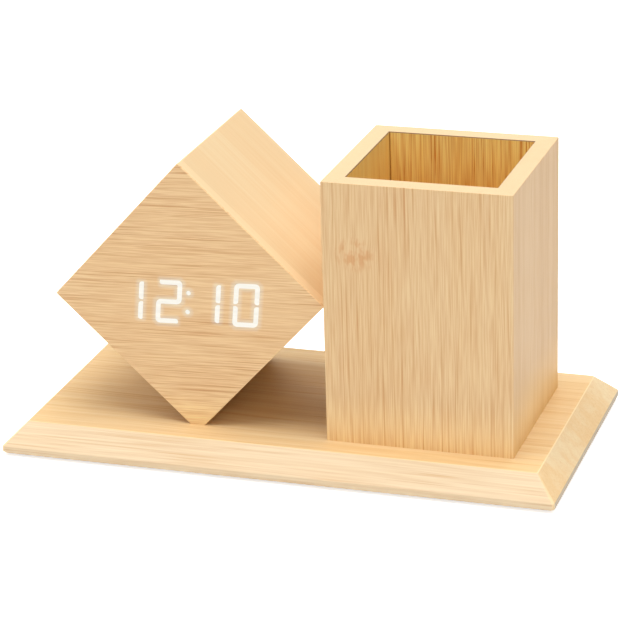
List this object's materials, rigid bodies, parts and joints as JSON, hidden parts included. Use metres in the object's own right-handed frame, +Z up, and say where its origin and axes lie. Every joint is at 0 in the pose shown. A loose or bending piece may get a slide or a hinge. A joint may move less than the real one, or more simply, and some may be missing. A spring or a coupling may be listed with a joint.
{
  "type": "desk clock with pen holder",
  "caption": "Square wooden digital clock standing on one corner beside a square pen holder, on a bevelled board.",
  "frame": {"origin": "on the table, under the middle of the board", "axes": "+X along the board with the clock at -X and the pen holder at +X; the clock's face looks towards -Y; +Z up"},
  "size_m": [0.2, 0.104, 0.1073],
  "materials": {
    "board_film": "satin wood-grain film",
    "holder_film": "satin wood-grain film",
    "case_film": "satin wood-grain film",
    "face_veneer": "satin wood veneer",
    "raw_wood": "bare fibre board",
    "black_plastic": "fine texture",
    "white_plastic": "smooth",
    "unlit_lens": "translucent",
    "circuit": "solder mask",
    "steel": "nickel plated",
    "rubber": "matte",
    "cell_wrap": "printed sleeve, plain",
    "wire": "PVC",
    "button_plastic": "smooth",
    "lit_lens": "lit from behind"
  },
  "bodies": {
    "stand": {"base_board": "board_film", "rubber_feet": "rubber", "holder_screws": "steel", "clock_screws": "steel", "holder_front_wall": "holder_film", "holder_right_wall": "holder_film", "holder_back_wall": "holder_film", "holder_left_wall": "holder_film", "holder_floor": "holder_film", "clock_upper_right_side": "case_film", "clock_upper_left_side": "case_film", "clock_lower_left_side": "case_film", "clock_lower_right_side": "case_film", "front_board": "case_film", "front_veneer": "face_veneer", "corner_blocks": "raw_wood", "foot_block": "raw_wood", "display_housing": "white_plastic", "lit_segments": "lit_lens", "unlit_segments": "unlit_lens", "display_board": "circuit", "display_leds": "white_plastic", "display_screws": "steel", "controller_chip": "black_plastic", "buzzer": "black_plastic", "rear_cover": "black_plastic", "cover_screws": "steel", "battery_cells": "cell_wrap", "battery_contacts": "steel", "battery_leads": "wire", "control_board": "circuit", "board_screws": "steel", "tact_switches": "black_plastic", "power_socket": "steel", "socket_tongue": "black_plastic", "ribbon_cable": "white_plastic", "ribbon_plugs": "white_plastic"},
    "set_key": {"set_button": "button_plastic", "set_plunger": "white_plastic"},
    "up_key": {"up_button": "button_plastic", "up_plunger": "white_plastic"},
    "down_key": {"down_button": "button_plastic", "down_plunger": "white_plastic"},
    "door": {"battery_door": "black_plastic"}
  },
  "joints": [
    {"name": "set_press", "type": "slide", "parent": "stand", "child": "set_key", "axis": [0, -1, 0], "range_m": [0, 0.0005], "stiffness_N_per_m": 900, "springref_m": -0.0006},
    {"name": "up_press", "type": "slide", "parent": "stand", "child": "up_key", "axis": [0, -1, 0], "range_m": [0, 0.0005], "stiffness_N_per_m": 900, "springref_m": -0.0006},
    {"name": "down_press", "type": "slide", "parent": "stand", "child": "down_key", "axis": [0, -1, 0], "range_m": [0, 0.0005], "stiffness_N_per_m": 900, "springref_m": -0.0006},
    {"name": "door_hinge", "type": "hinge", "parent": "stand", "child": "door", "pos_m": [-0.02434, 0.0299, 0.06852], "axis": [0.7314, 0, -0.682], "range_deg": [0, 90]}
  ]
}
